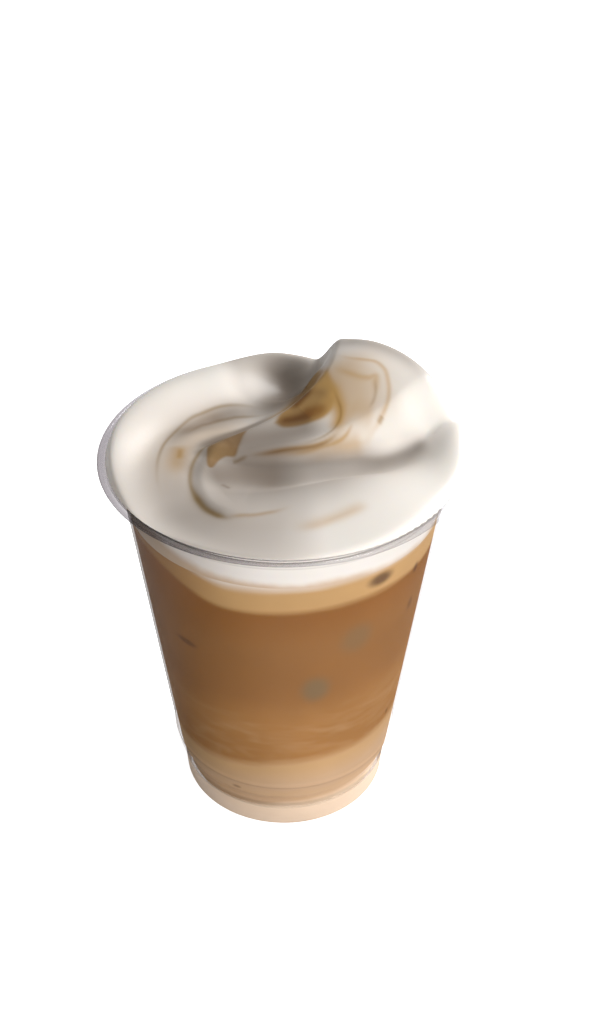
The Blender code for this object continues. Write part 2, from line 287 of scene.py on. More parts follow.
# Coffee drawn through the foam
COFFEE_STROKES = [
    # dark marbling where the tongue leaves the heap
    ([(-3, 8.6), (-0.5, 7.9), (2, 7.6), (4.6, 7.8), (7.5, 8.3), (12, 8.8)], 2.1, 2.0, 0.96),
    ([(3.5, 9.5), (6.5, 9.6), (9, 9.4), (13, 8.6)], 2.2, 3.0, 0.75),
    ([(1, 11.5), (3.2, 13), (4.6, 14.6), (6.4, 16.8), (8, 19)], 1.3, 1.3, 0.87),
    ([(6.4, 34), (5, 29), (4, 25.5), (2.6, 21.5), (0, 17.5)], 1.1, 1.6, 0.25),
    ([(7, 18), (9.5, 15.5), (11.5, 12.5), (13.5, 9)], 1.1, 1.3, 0.14),
    # lip of the swirl: a hair line, then a strong stretch at the front left
    ([(-6, 13), (-11, 10), (-16, 6), (-20.2, 1), (-22.6, -3), (-23.8, -7.5), (-24.1, -12), (-23.7, -16),
      (-22.6, -19.4),
      (-20.8, -23), (-18, -27)], 0.7, 0.7, 0.63),
    ([(-23.6, -15), (-22.7, -19), (-21.2, -22.4), (-19.3, -25.7), (-16.9, -28.4), (-14.8, -30),
      (-11.8, -31.6)], 1.0, 1.2, 0.86),
    # hair lines round the swirl
    ([(-3.5, 24), (-7.7, 24.9), (-11, 24.6), (-14.9, 23.4), (-18.7, 21.6), (-22.1, 19.2), (-25, 16.8),
      (-27.4, 13.4),
      (-29.8, 8.6), (-31.7, 3.4), (-32.5, -1.4), (-32.8, -8), (-32.2, -15), (-30.5, -21)], 0.5, 0.5, 0.55),
    ([(-5, 21.4), (-7.2, 21.6), (-10, 21.4), (-13, 20.6), (-15.4, 19.4), (-18.2, 18), (-20.6, 16.3),
      (-22.6, 14.9),
      (-25, 11.5), (-26.5, 8)], 0.5, 0.5, 0.5),
    # hair lines at the heap's foot and in the loops
    ([(15, 0), (12, -2.6), (8.7, -3.9), (5.3, -4.4), (0.3, -4.7), (-5, -5.1), (-11, -5.2)], 0.4, 0.4, 0.45),
    ([(24, 16.4), (24.2, 12), (23.5, 8.5), (22, 5.5)], 0.5, 0.5, 0.35),
    ([(12.6, 17), (14, 12), (14.9, 7.5), (14.4, 3.5), (12, -0.5), (7.5, -2.8), (1, -3.6)], 0.4, 0.4, 0.45),
    # edges of the caramel patch
    ([(-9.6, 7), (-10.7, 2.6), (-11.7, -1.9), (-12.7, -5), (-13.4, -6.8)], 0.6, 0.6, 0.19),
    ([(-17, 2.5), (-15, 0.6), (-13.8, -1.6), (-13.4, -3.6)], 0.7, 0.9, 0.2),
    ([(-19.9, -1), (-19.9, -4.4), (-19.4, -9.2)], 0.6, 0.9, 0.25),
    ([(-13.6, -6.3), (-12.6, -6.2), (-11, -5.6), (-9, -5.1)], 0.5, 0.5, 0.52),
    # flecks
    ([(25.8, 3.6), (25.2, 2.7), (24.4, 1.4)], 0.6, 0.7, 0.5),
    ([(-27.2, -0.2), (-27.3, -2), (-27.4, -3.8)], 0.6, 0.6, 0.12),
    # short streak at the front
    ([(9, -34.3), (13.5, -32.2), (18.5, -29.8)], 0.5, 0.5, 0.07),
]

# Tones up the drink's side: heights in millimetres, and the colours' settings
DRINK_TONES = [(6, "foot"), (9, "milk"), (18, "milk"), (25.6, "edge"), (26.8, "edge"), (30, "low"),
               (44, "low"), (56, "mocha"), (74, "mocha"), (86.6, "top"), (88.6, "caramel"), (94, "caramel")]
FOAM_TONE_HEIGHT = 98.5

# Marks in the drink at the wall: azimuth in degrees, height, half widths along and up in
# millimetres, which colour, and strength
WALL_MARKS = [
    (-53.8, 93.0, 4.4, 2.5, "coffee", 0.8),
    (-77.0, 57.8, 4.6, 5.6, "ice", 0.8),
    (-61.0, 74.1, 5.5, 6.0, "ice", 0.5),
    (-132.8, 67.9, 4.2, 1.4, "coffee", 0.5),
    (-33.0, 88.0, 1.4, 2.2, "coffee", 0.7),
    (-31.0, 74.4, 1.6, 2.6, "coffee", 0.45),
    (-30.0, 32.7, 0.9, 1.5, "coffee", 0.8),
    (-115.8, 14.1, 1.6, 0.7, "coffee", 0.5),
]
# A mark is full as far out as its core, and gone at its rim, in half widths
MARK_CORE = 0.35
MARK_RIM = 1.25

# Patterns of the drink: their real sizes, and how they are squeezed, which draws them out level.
# The milk's streaks come in between two heights, from above.
BAND_SIZE = 5 * MM
BAND_SQUEEZE = (0.12, 0.12, 1)
BAND_WANDER = 2.5 * MM
CLOUD_SIZE = 24 * MM
CLOUD_SPREAD = (0.3, 0.7)
CLOUD_TONES = (0.93, 1.07)
STREAK_SIZE = 3.5 * MM
STREAK_SQUEEZE = (0.3, 0.3, 1)
STREAK_CUT = (0.45, 0.7)
STREAK_STRENGTH = 0.3
STREAK_HEIGHTS = (54 * MM, 42 * MM)

# Patterns of the foam: drops of caramel in its side, which thin out between two heights, and
# its bubbles
DROP_SIZE = 9 * MM
DROP_WANDER = 3 * MM
STAIN_HEIGHTS = (CARAMEL_TOP + 1.0 * MM, CARAMEL_TOP + 4.5 * MM)
STAIN_STRENGTH = 0.75
BUBBLE_SIZE = 0.8 * MM
BUBBLE_DEPTH = 0.1 * MM

# The cup's mirror and its dark edge: how fast each fades where the wall turns to the eye, and
# the least and most of the mirror
MIRROR_POWER = 5.0
EDGE_POWER = 1.8
MIRROR_SHARES = (0.02, 0.14)
STEP_HALF_WIDTH = 0.3 * MM
STEP_DARKNESS = 0.14

# How much plastic lies behind each height of the cup, in millimetres: none in the foot, which
# has its own colour, much just over it, little in the drawn-in neck, and most under the bead
WALL_DEPTHS = [(8.0, 0), (8.4, 0.6), (9.0, 0.6), (9.5, 0.1), (13, 0.1), (15, 0.3), (17, 0.7),
               (96, 0.7), (101, 1), (108.7, 1), (109.0, 0.3)]

# Shares that run across or up a piece, by name: the axis, where they start and end, what they
# are there, and how they run. The lamps stand at the right, so low X is the dim side.
FOAM_SHARES = {
    # caramel creeps up the foam's side, and reaches further on the dim side as painted shade
    "lean": ("X", -14 * MM, -40 * MM, 0, -6 * MM, "SMOOTHSTEP"),
    # painted shade on the foam's side under the rim, towards the dim side
    "under rim": ("Z", CUP_HEIGHT - 1 * MM, CUP_HEIGHT - 2 * MM, 0, 0.2, "LINEAR"),
    "dim side": ("X", -5 * MM, -36 * MM, 0, 1, "SMOOTHSTEP"),
}
DRINK_SHARES = {
    # levels fall towards the left: their slope, and what is added left of the axis
    "slope": ("Z", MILK_TOP, MOCHA_TOP, -0.05, -0.04, "LINEAR"),
    "left slope": ("Z", MILK_TOP, MOCHA_TOP, -0.14, 0, "LINEAR"),
    # on the dim side the mocha rises into the froth and blends with it, which paints shade on the froth there
    "lean": ("X", -14 * MM, -38 * MM, 0, -8 * MM, "SMOOTHSTEP"),
    "blend": ("X", -12 * MM, -34 * MM, 0, 0.6, "SMOOTHSTEP"),
    "near froth": ("Z", 76 * MM, 86 * MM, 0, 1, "LINEAR"),
}
CUP_SHARES = {
    # painted by side: mirror and dark edge are weaker at the right, where the lit drink outshines them, and
    # full on the dim side
    "dim side": ("X", RIM_RADIUS, -RIM_RADIUS, 0.4, 1, "LINEAR"),
    # groove over the foot
    "groove": ("Z", FOOT_TOP + 1.0 * MM, FOOT_TOP + 0.4 * MM, 0, 0.35, "LINEAR"),
    # thick bead, greyer; painted shade makes it darkest on the dim side
    "bead": ("Z", CUP_HEIGHT - 3 * BEAD_RADIUS, CUP_HEIGHT - 2 * BEAD_RADIUS, 0, 1, "LINEAR"),
    "dim bead": ("X", 15 * MM, -RIM_RADIUS, 0.12, 1, "LINEAR"),
    # pale foot: opaque beige, the milk's colour paled by painted light from the white floor
    "pale_foot": ("Z", FOOT_TOP - 1.5 * MM, FOOT_TOP, 0.85, 0, "LINEAR"),
}

# Sockets of a Mix node that mixes colours
SHARE, FIRST, SECOND, MIXED = 0, 6, 7, 2


def linear(hex_colour):
    """A linear RGBA colour from an sRGB hex value."""
    channels = [int(hex_colour[i:i + 2], 16) / 255 for i in (1, 3, 5)]
    return tuple(c / 12.92 if c <= 0.04045 else ((c + 0.055) / 1.055) ** 2.4 for c in channels) + (1.0,)


def colour(name, description, hex_colour):
    """A colour property whose default is an sRGB hex value."""
    return FloatVectorProperty(name=name, description=description, default=linear(hex_colour),
                               min=0, max=1, size=4, subtype="COLOR")


def angle(name, description, turn):
    """An angle property, whose default is in radians."""
    return FloatProperty(name=name, description=description, default=turn, subtype="ANGLE")


def brightness(name, description, amount):
    """A property for how bright a light is."""
    return FloatProperty(name=name, description=description, default=amount, min=0)


class CupSettings(bpy.types.PropertyGroup):
    steps: IntProperty(name="Steps", description="Facets round the cup", default=160, min=24)
    roughness: FloatProperty(name="Roughness", description="Haze of the formed plastic", default=0.04,
                             min=0, max=1, subtype="FACTOR")
    tint: colour("Plastic", "Light through the thin wall, seen straight on", "#FCFCFD")
    edge: colour("Plastic edge", "Light through the wall, seen along its surface", "#837C78")
    bead: colour("Rolled bead", "Light through the thick bead", "#CCC9CB")
    # painted: the foot's opaque pale beige stands in for the milk and the floor's light seen through it
    foot: colour("Milky foot", "Milk's colour paled by painted floor light, on the foot", "#EBD0B5")


class DrinkSettings(bpy.types.PropertyGroup):
    steps: IntProperty(name="Steps", description="Facets round each layer", default=144, min=24)
    milk: colour("Milk", "Milk that has sunk to the foot", "#C8A684")
    foot: colour("Foot", "Palest milk, in the cup's foot", "#F2D9BD")
    edge: colour("Milk's edge", "Creamy line where mocha lies on milk", "#C7A072")
    low: colour("Low mocha", "Mocha thinned by milk", "#A67542")
    mocha: colour("Mocha", "The body of the drink", "#97683A")
    top: colour("Top of the mocha", "Darkest mocha, under the froth", "#925F2E")
    caramel: colour("Caramel froth", "Froth stained by caramel", "#C99F6A")
    coffee: colour("Coffee marks", "Dark coffee at the wall", "#56392A")
    ice: colour("Ice marks", "Ice that shows through the drink", "#7E694C")


class FoamSettings(bpy.types.PropertyGroup):
    milk: colour("Foam", "Fresh milk foam", "#FBF3EA")
    # painted shade: the colour that darkens the foam where shade falls
    shade: colour("Painted foam shade", "What foam in painted shade leaves of the light", "#82776D")
    caramel: colour("Caramel streaks", "What caramel leaves of the light", "#D5AE6A")
    coffee: colour("Coffee streaks", "What coffee leaves of the light", "#B29247")


class StageSettings(bpy.types.PropertyGroup):
    distance: FloatProperty(name="Camera distance", description="From the camera to the middle of the rim",
                            default=0.4, unit="LENGTH", precision=4)
    elevation: angle("Camera elevation", "How far the camera looks down on the rim", radians(33.2))
    aim: angle("Camera aim", "How far below the rim the camera looks", 0.041)
    key_azimuth: angle("Key azimuth", "Where the key light stands, from the right", radians(40))
    key_elevation: angle("Key elevation", "How high the key light stands", radians(32))
    key_power: brightness("Key power", "Power of the key light in watts", 10.8)
    fill_azimuth: angle("Fill azimuth", "Where the fill light stands, from the right", radians(-55))
    fill_elevation: angle("Fill elevation", "How high the fill light stands", radians(14))
    fill_power: brightness("Fill power", "Power of the fill light in watts", 9.5)
    bright_side: brightness("Bright side", "Surround's brightness at the right", 0.45)
    dim_side: brightness("Dim side", "Surround's brightness at the left", 0.25)
    floor: colour("Floor", "Plain pale floor", "#FAFAFA")


def add_node(tree, kind, sockets=None, stops=None, **settings):
    """Add a shader node with its settings, the stops of its ramp, and what fills or feeds its
    sockets. A node that feeds a socket does so from its first output."""
    made = tree.nodes.new("ShaderNode" + kind)
    for name, value in settings.items():
        setattr(made, name, value)
    for i, (position, tone) in enumerate(stops or []):
        if i == len(made.color_ramp.elements):
            made.color_ramp.elements.new(position)
        made.color_ramp.elements[i].position = position
        made.color_ramp.elements[i].color = tone
    for socket, value in (sockets or {}).items():
        if isinstance(value, bpy.types.Node):
            value = value.outputs[0]
        if isinstance(value, bpy.types.NodeSocket):
            tree.links.new(value, made.inputs[socket])
        else:
            made.inputs[socket].default_value = value
    return made


def new_material(name, values):
    """A new node material, its tree and its Principled shader, whose sockets hold the values."""
    made = bpy.data.materials.new(name)
    made.use_nodes = True
    shader = made.node_tree.nodes["Principled BSDF"]
    for socket, value in values.items():
        shader.inputs[socket].default_value = value
    return made, made.node_tree, shader


def placed(tree, shares):
    """Each point's place on the piece, its X and Z, and the table's shares, by name."""
    place = add_node(tree, "TexCoord").outputs["Object"]
    split = add_node(tree, "SeparateXYZ", {0: place})
    at = {"place": place, "X": split.outputs["X"], "Z": split.outputs["Z"]}
    for name, (axis, start, end, at_start, at_end, run) in shares.items():
        at[name] = add_node(tree, "MapRange", {
            "Value": at[axis], "From Min": start, "From Max": end, "To Min": at_start, "To Max": at_end},
            interpolation_type=run).outputs[0]
    return at


def on_circle(centre, radius, start, end, count):
    """Points on an arc in the profile plane, angles in degrees from +r towards +z."""
    angles = [radians(start + (end - start) * i / (count - 1)) for i in range(count)]
    return [(centre[0] + radius * cos(a), centre[1] + radius * sin(a)) for a in angles]


def wall_radius(z):
    """Outer radius of the tapered wall at a height."""
    return WALL_FOOT_RADIUS + (WALL_TOP_RADIUS - WALL_FOOT_RADIUS) * z / WALL_TOP_HEIGHT


def neck(low_radius, high_radius):
    """Radii and heights where the wall draws in to the foot, from the top down."""
    points = []
    for i in range(NECK_POINTS):
        t = i / (NECK_POINTS - 1)
        ease = (1 - cos(pi * t)) / 2
        points.append((high_radius + (low_radius - high_radius) * ease,
                       NECK_TOP + (FOOT_TOP + FOOT_ROUND - NECK_TOP) * t))
    return points


def inside_profile():
    """The cup's inner side, from the floor's corner up to the mouth."""
    corner_centre = (FOOT_INSIDE_RADIUS - FLOOR_CORNER, FLOOR_TOP + FLOOR_CORNER)
    corner = on_circle(corner_centre, FLOOR_CORNER, -90, 0, CORNER_POINTS)
    drawn_in = neck(FOOT_INSIDE_RADIUS, wall_radius(NECK_TOP) - WALL)[::-1]
    mouth_low = CUP_HEIGHT - BEAD_RADIUS - MOUTH_FLARE
    mouth = [(wall_radius(mouth_low) - WALL, mouth_low),
             (RIM_RADIUS - 2 * BEAD_RADIUS, CUP_HEIGHT - BEAD_RADIUS)]
    return corner + drawn_in + mouth


def ridge_profile():
    """The stacking ridge's section, from the top down."""
    points = []
    for i in range(RIDGE_POINTS):
        t = i / (RIDGE_POINTS - 1)
        z = RIDGE_HEIGHT + RIDGE_WIDTH * (0.5 - t)
        points.append((wall_radius(z) + RIDGE_PROUD * sin(pi * t) ** 2, z))
    return points


def cup_profile():
    """The cup's whole section: up the inside, over the bead and down the outside."""
    bead_centre = (RIM_RADIUS - BEAD_RADIUS, CUP_HEIGHT - BEAD_RADIUS)
    bead = on_circle(bead_centre, BEAD_RADIUS, 180, -110, BEAD_POINTS)
    outside = [(wall_radius(UNDER_RIM) + WALL, UNDER_RIM),
               (wall_radius(UNDER_RIM - WALL), UNDER_RIM - 2 * WALL)]
    foot_round = on_circle((FOOT_RADIUS - FOOT_ROUND, FOOT_ROUND), FOOT_ROUND, 0, -90, CORNER_POINTS)
    ring_inside = [(FOOT_RING_INSIDE_RADIUS, 0), (FOOT_RING_INSIDE_RADIUS - FOOT_RING_BEVEL, FLOOR_UNDERSIDE)]
    return (inside_profile()[:-1] + bead + outside + ridge_profile()
            + neck(NECK_RADIUS, wall_radius(NECK_TOP)) + [(FOOT_LIP_RADIUS, FOOT_TOP)]
            + foot_round + ring_inside + [(0, FLOOR_UNDERSIDE)])


def layer_side(low, high):
    """The side of a layer that fills the cup between two heights, from the top down."""
    inner = inside_profile()
    heights = [z for r, z in inner]
    radii = [r for r, z in inner]
    between = [z for z in heights if low < z < high]
    return [(float(np.interp(z, heights, radii)) + REACH, z) for z in [high] + between[::-1] + [low]]


def turned(name, profile, steps):
    """A closed piece, modelled ring by ring: a filled disc at the profile's first point, whose
    edge is extruded and scaled from point to point and merged at the axis."""
    bpy.ops.object.select_all(action="DESELECT")
    radius, height = profile[0]
    bpy.ops.mesh.primitive_circle_add(vertices=steps, radius=radius, location=(0, 0, height),
                                      fill_type="TRIFAN")
    piece = bpy.context.object
    piece.name = name
    piece.data.name = name
    bpy.ops.object.transform_apply(location=True)
    bpy.ops.object.mode_set(mode="EDIT")
    bpy.ops.mesh.select_mode(type="EDGE")
    bpy.ops.mesh.select_all(action="DESELECT")
    bpy.ops.mesh.select_non_manifold(extend=False, use_wire=False, use_multi_face=False,
                                     use_non_contiguous=False, use_verts=False)
    for next_radius, next_height in profile[1:]:
        rise = (0, 0, next_height - height)
        bpy.ops.mesh.extrude_region_move(TRANSFORM_OT_translate={"value": rise})
        if next_radius > 0:
            share = next_radius / radius
            bpy.ops.transform.resize(value=(share, share, 1), center_override=(0, 0, next_height))
        else:
            bpy.ops.mesh.merge(type="CENTER")
        radius, height = next_radius, next_height
    bpy.ops.mesh.select_all(action="SELECT")
    bpy.ops.mesh.normals_make_consistent(inside=False)
    bpy.ops.object.mode_set(mode="OBJECT")
    bpy.ops.object.shade_smooth_by_angle(angle=SMOOTH_ANGLE)
    return piece


def finished(piece, material, slot, *nodes):
    """Give a piece its material and its body, and hide the nodes that it stands for. The slot is not used."""
    piece.data.materials.clear()
    piece.data.materials.append(material)
    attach(piece, "root")
    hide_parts(*nodes)


def along(route):
    """A smooth line through the route's points."""
    points = np.array(route, float)
    ends = np.vstack([2 * points[0] - points[1], points, 2 * points[-1] - points[-2]])
    line = []
    for a, b, c, d in zip(ends[:-3], ends[1:-2], ends[2:-1], ends[3:]):
        for t in np.arange(STEPS_PER_SPAN) / STEPS_PER_SPAN:
            line.append(0.5 * (2 * b + (c - a) * t + (2 * a - 5 * b + 4 * c - d) * t ** 2
                               + (3 * b - a - 3 * c + d) * t ** 3))
    return np.array(line + [points[-1]])


def nearest_on(places, line):
    """Distance from each place to a line, negative on its right, and the share of the way there."""
    side = line[1:] - line[:-1]
    best = np.full(len(places), np.inf)
    signed = np.zeros(len(places))
    share = np.zeros(len(places))
    for i, (start, run) in enumerate(zip(line[:-1], side)):
        offset = places - start
        t = np.clip(offset @ run / (run @ run), 0, 1)
        gap = offset - t[:, None] * run
        gap_length = np.hypot(gap[:, 0], gap[:, 1])
        nearer = gap_length < best
        best[nearer] = gap_length[nearer]
        left = run[0] * gap[nearer, 1] - run[1] * gap[nearer, 0]
        signed[nearer] = np.where(left < 0, -1, 1) * gap_length[nearer]
        share[nearer] = (i + t[nearer]) / len(side)
    return signed, share


def eased(share):
    """From 0 to 1, starting and ending softly."""
    share = np.clip(share, 0, 1)
    return share ** 2 * (3 - 2 * share)


def fade_at_ends(share):
    """1 along a route, and down to 0 over its two end stretches."""
    return eased(np.minimum(share, 1 - share) / END_STRETCH)


def ridge_height(places, route, rise, half_width):
    """A soft ridge along a route, which fades out at its ends."""
    distance, share = nearest_on(places, along(route))
    return rise * np.exp(-(distance / half_width) ** 2) * fade_at_ends(share)


def fold_height(places, route, rise, reach, lip):
    """A step along a route, high on its left and fading away from the edge and at its ends."""
    distance, share = nearest_on(places, along(route))
    return rise * fade_at_ends(share) * eased(distance / lip) * np.exp(-(distance / reach) ** 2)


def heap_height(places):
    """The heap's dome, which rolls over along its two lines; higher sides are wider."""
    facing = radians(HEAP_FACING)
    turn = np.array([[cos(facing), -sin(facing)], [sin(facing), cos(facing)]])
    share = (places - np.array(HEAP_PEAK)) @ turn / np.array(HEAP_HALF_WIDTHS)
    height = HEAP_HEIGHT * np.exp(-np.linalg.norm(share, axis=1) ** HEAP_ROUNDNESS) + HEAP_SKIRT
    dome = height
    for line, growth in ((HEAP_FRONT, HEAP_FRONT_GROWTH), (HEAP_LEFT, HEAP_LEFT_GROWTH)):
        height = height * eased(nearest_on(places, along(line))[0] / (HEAP_SIDE + growth * dome))
    return height


def foam_relief(places):
    """Height of the foam over the rim at each place, before its edge turns down."""
    height = heap_height(places)
    for route, rise, half_width in RIDGES:
        height = height + ridge_height(places, route, rise, half_width)
    for route, depth, half_width in VALLEYS:
        height = height - ridge_height(places, route, depth, half_width)
    for route, rise, reach, lip in FOLDS:
        height = height + fold_height(places, route, rise, reach, lip)
    for centre, half_widths, rise in SWELLINGS:
        share = (places - np.array(centre)) / np.array(half_widths)
        height = height + rise * np.exp(-(share ** 2).sum(axis=1))
    return height


def foam_surface(places):
    """Places and heights of the foam, with its edge turned down to the rim.

    Low foam turns down close to the wall, and laps over the rim at the right. The heap turns
    down over its whole shoulder and draws in a little.
    """
    height = foam_relief(places)
    radius = np.linalg.norm(places, axis=1)
    out = np.clip((radius - SHOULDER_START) / (FOAM_EDGE_RADIUS - SHOULDER_START), 0, 1)
    heaped = np.clip(height / HEAP_HEIGHT, 0, 1)
    power = LOW_FOAM_POWER + (HEAP_POWER - LOW_FOAM_POWER) * np.sqrt(heaped)
    turned_down = np.sqrt(1 - out ** power)
    height = (height + FOAM_EDGE_DROP) * turned_down - FOAM_EDGE_DROP
    swell = -HEAP_DRAW_IN * heaped ** DRAW_IN_GROWTH * out * np.sin(pi * turned_down)
    facing = np.degrees(np.arctan2(places[:, 1], places[:, 0]))
    swell += LAP * np.exp(-(facing / LAP_HALF_WIDTH) ** 2) * out ** 3 * eased(height / LAP_RISE)
    return places * (1 + swell / np.maximum(radius, 1))[:, None], height


def painted(places, strokes, patches=()):
    """How strongly strokes and patches colour each place, from 0 to 1."""
    bare = np.ones(len(places))
    for route, left, right, strength in strokes:
        distance, share = nearest_on(places, along(route))
        half_width = np.where(distance > 0, left, right)
        bare *= 1 - strength * np.exp(-(distance / half_width) ** 2) * fade_at_ends(share)
    for outline, softness, strength in patches:
        inward = nearest_on(places, along(outline + outline[:1]))[0]
        bare *= 1 - strength * eased(inward / softness + 0.5)
    return 1 - bare


def foam_material():
    """Steamed milk foam: fine wet bubbles too small to see one by one, which give a soft satin
    white, let light in a little way, and hold streaks of coffee and caramel, with painted shade
    in its hollows and creases and on its dim side."""
    settings = bpy.context.scene.mocha_foam
    # wet enough to mirror the dim room where it turns away, which draws its outline
    made, tree, shader = new_material("steamed milk foam", {
        "Roughness": 0.42, "Specular IOR Level": 0.45, "Subsurface Weight": 0.25,
        "Subsurface Radius": (1.0, 0.8, 0.55), "Subsurface Scale": 0.8 * MM})
    at = placed(tree, FOAM_SHARES)
    # the painted shade and the caramel and coffee streaks each take their share of the light away,
    # so where they cross the foam grows darker
    mixed = settings.milk
    for name in ("shade", "caramel", "coffee"):
        share = add_node(tree, "Attribute", attribute_name=name).outputs["Fac"]
        mixed = add_node(tree, "Mix", {SHARE: share, FIRST: mixed, SECOND: getattr(settings, name)},
                         data_type="RGBA", blend_type="MULTIPLY").outputs[MIXED]
    # caramel creeps up into the foam's side in drops; the higher reach on the dim side is painted shade
    height = add_node(tree, "Math", {0: at["Z"], 1: at["lean"]})
    drops = add_node(tree, "TexNoise", {"Vector": at["place"], "Scale": 1 / DROP_SIZE, "Detail": 3})
    wander = add_node(tree, "Math", {0: drops.outputs["Fac"], 1: DROP_WANDER, 2: height},
                      operation="MULTIPLY_ADD")
    stain = add_node(tree, "MapRange", {
        "Value": wander, "From Min": STAIN_HEIGHTS[0], "From Max": STAIN_HEIGHTS[1],
        "To Min": STAIN_STRENGTH, "To Max": 0}, interpolation_type="SMOOTHSTEP")
    # painted shade: under the rim the foam's side is darkened, most on the dim side
    wet = add_node(tree, "Math", {0: at["under rim"], 1: at["dim side"]}, operation="MULTIPLY")
    for share, tone in ((stain, bpy.context.scene.mocha_drink.caramel), (wet, settings.shade)):
        mixed = add_node(tree, "Mix", {SHARE: share, FIRST: mixed, SECOND: tone},
                         data_type="RGBA").outputs[MIXED]
    tree.links.new(mixed, shader.inputs["Base Color"])
    # bubbles of about a third of a millimetre, drawn as the finest that the picture can hold
    bubbles = add_node(tree, "TexVoronoi", {"Vector": at["place"], "Scale": 1 / BUBBLE_SIZE})
    bump = add_node(tree, "Bump", {
        "Height": bubbles.outputs["Distance"], "Strength": 0.05, "Distance": BUBBLE_DEPTH})
    tree.links.new(bump.outputs["Normal"], shader.inputs["Normal"])
    return made


def drink_material(name):
    """Milky coffee drink, seen through the wall: opaque, wet and slightly cloudy, paler where
    milk has sunk, with soft bands, and marks where ice and coffee touch the wall."""
    settings = bpy.context.scene.mocha_drink
    # no gloss of its own: it touches the wall, and only the wall's outer side shines
    made, tree, shader = new_material(name, {"Roughness": 0.35, "Specular IOR Level": 0})
    at = placed(tree, DRINK_SHARES)
    # swirled bands lie nearly flat
    flat = add_node(tree, "Mapping", {"Vector": at["place"], "Scale": BAND_SQUEEZE})
    bands = add_node(tree, "TexNoise", {
        "Vector": flat, "Scale": 1 / BAND_SIZE, "Detail": 3, "Roughness": 0.55})
    # levels tilt across the cup, most near the milk, and wander with the bands
    tilt = add_node(tree, "Math", {0: at["X"], 1: at["slope"], 2: at["Z"]}, operation="MULTIPLY_ADD")
    left = add_node(tree, "Math", {0: at["X"], 1: 0.0}, operation="MINIMUM")
    tilt = add_node(tree, "Math", {0: left, 1: at["left slope"], 2: tilt}, operation="MULTIPLY_ADD")
    level = add_node(tree, "Math", {0: bands.outputs["Fac"], 1: BAND_WANDER, 2: tilt},
                     operation="MULTIPLY_ADD")
    level = add_node(tree, "Math", {0: at["lean"], 1: at["near froth"], 2: level}, operation="MULTIPLY_ADD")
    share = add_node(tree, "MapRange", {
        "Value": level, "From Min": BAND_WANDER / 2, "From Max": CUP_HEIGHT + BAND_WANDER / 2})
    stops = [(height, getattr(settings, tone)) for height, tone in DRINK_TONES]
    stops.append((FOAM_TONE_HEIGHT, bpy.context.scene.mocha_foam.milk))
    tones = add_node(tree, "ValToRGB", {"Fac": share},
                     stops=[(height * MM / CUP_HEIGHT, tuple(tone)) for height, tone in stops])
    # soft clouds, a little lighter and darker than the drink
    clouds = add_node(tree, "TexNoise", {"Vector": at["place"], "Scale": 1 / CLOUD_SIZE, "Detail": 2})
    cloudy = add_node(tree, "MapRange", {
        "Value": clouds.outputs["Fac"], "From Min": CLOUD_SPREAD[0], "From Max": CLOUD_SPREAD[1],
        "To Min": CLOUD_TONES[0], "To Max": CLOUD_TONES[1]})
    mixed = add_node(tree, "HueSaturation", {"Color": tones.outputs["Color"], "Value": cloudy})
    # painted shade: on the dim side froth and mocha blend instead of meeting at an edge
    dim_side_shade_blend = add_node(tree, "Math", {0: at["blend"], 1: at["near froth"]}, operation="MULTIPLY")
    # streaks of milk drawn out level in the lower mocha
    drawn = add_node(tree, "Mapping", {"Vector": at["place"], "Scale": STREAK_SQUEEZE})
    streaks = add_node(tree, "TexNoise", {
        "Vector": drawn, "Scale": 1 / STREAK_SIZE, "Detail": 3, "Roughness": 0.6, "Distortion": 0.6})
    streaky = add_node(tree, "MapRange", {
        "Value": streaks.outputs["Fac"], "From Min": STREAK_CUT[0], "From Max": STREAK_CUT[1],
        "To Max": STREAK_STRENGTH})
    low = add_node(tree, "MapRange", {
        "Value": level, "From Min": STREAK_HEIGHTS[0], "From Max": STREAK_HEIGHTS[1]},
        interpolation_type="SMOOTHSTEP")
    laid = add_node(tree, "Math", {0: streaky, 1: low}, operation="MULTIPLY")
    stains = [(dim_side_shade_blend, settings.top), (laid, settings.edge)]
    # round marks where ice and coffee touch the wall
    for azimuth, height, across, up, kind, strength in WALL_MARKS:
        turn = radians(azimuth)
        radius = wall_radius(height * MM)
        centre = (radius * cos(turn), radius * sin(turn), height * MM)
        moved = add_node(tree, "VectorMath", {0: at["place"], 1: centre}, operation="SUBTRACT")
        scale = (1 / (across * MM), 1 / (across * MM), 1 / (up * MM))
        scaled = add_node(tree, "VectorMath", {0: moved, 1: scale}, operation="MULTIPLY")
        away = add_node(tree, "VectorMath", {0: scaled}, operation="LENGTH")
        near = add_node(tree, "MapRange", {
            "Value": away.outputs["Value"], "From Min": MARK_CORE, "From Max": MARK_RIM,
            "To Min": strength, "To Max": 0}, interpolation_type="SMOOTHSTEP")
        stains.append((near, getattr(settings, kind)))
    for share, tone in stains:
        mixed = add_node(tree, "Mix", {SHARE: share, FIRST: mixed, SECOND: tone},
                         data_type="RGBA").outputs[MIXED]
    tree.links.new(mixed, shader.inputs["Base Color"])
    return made


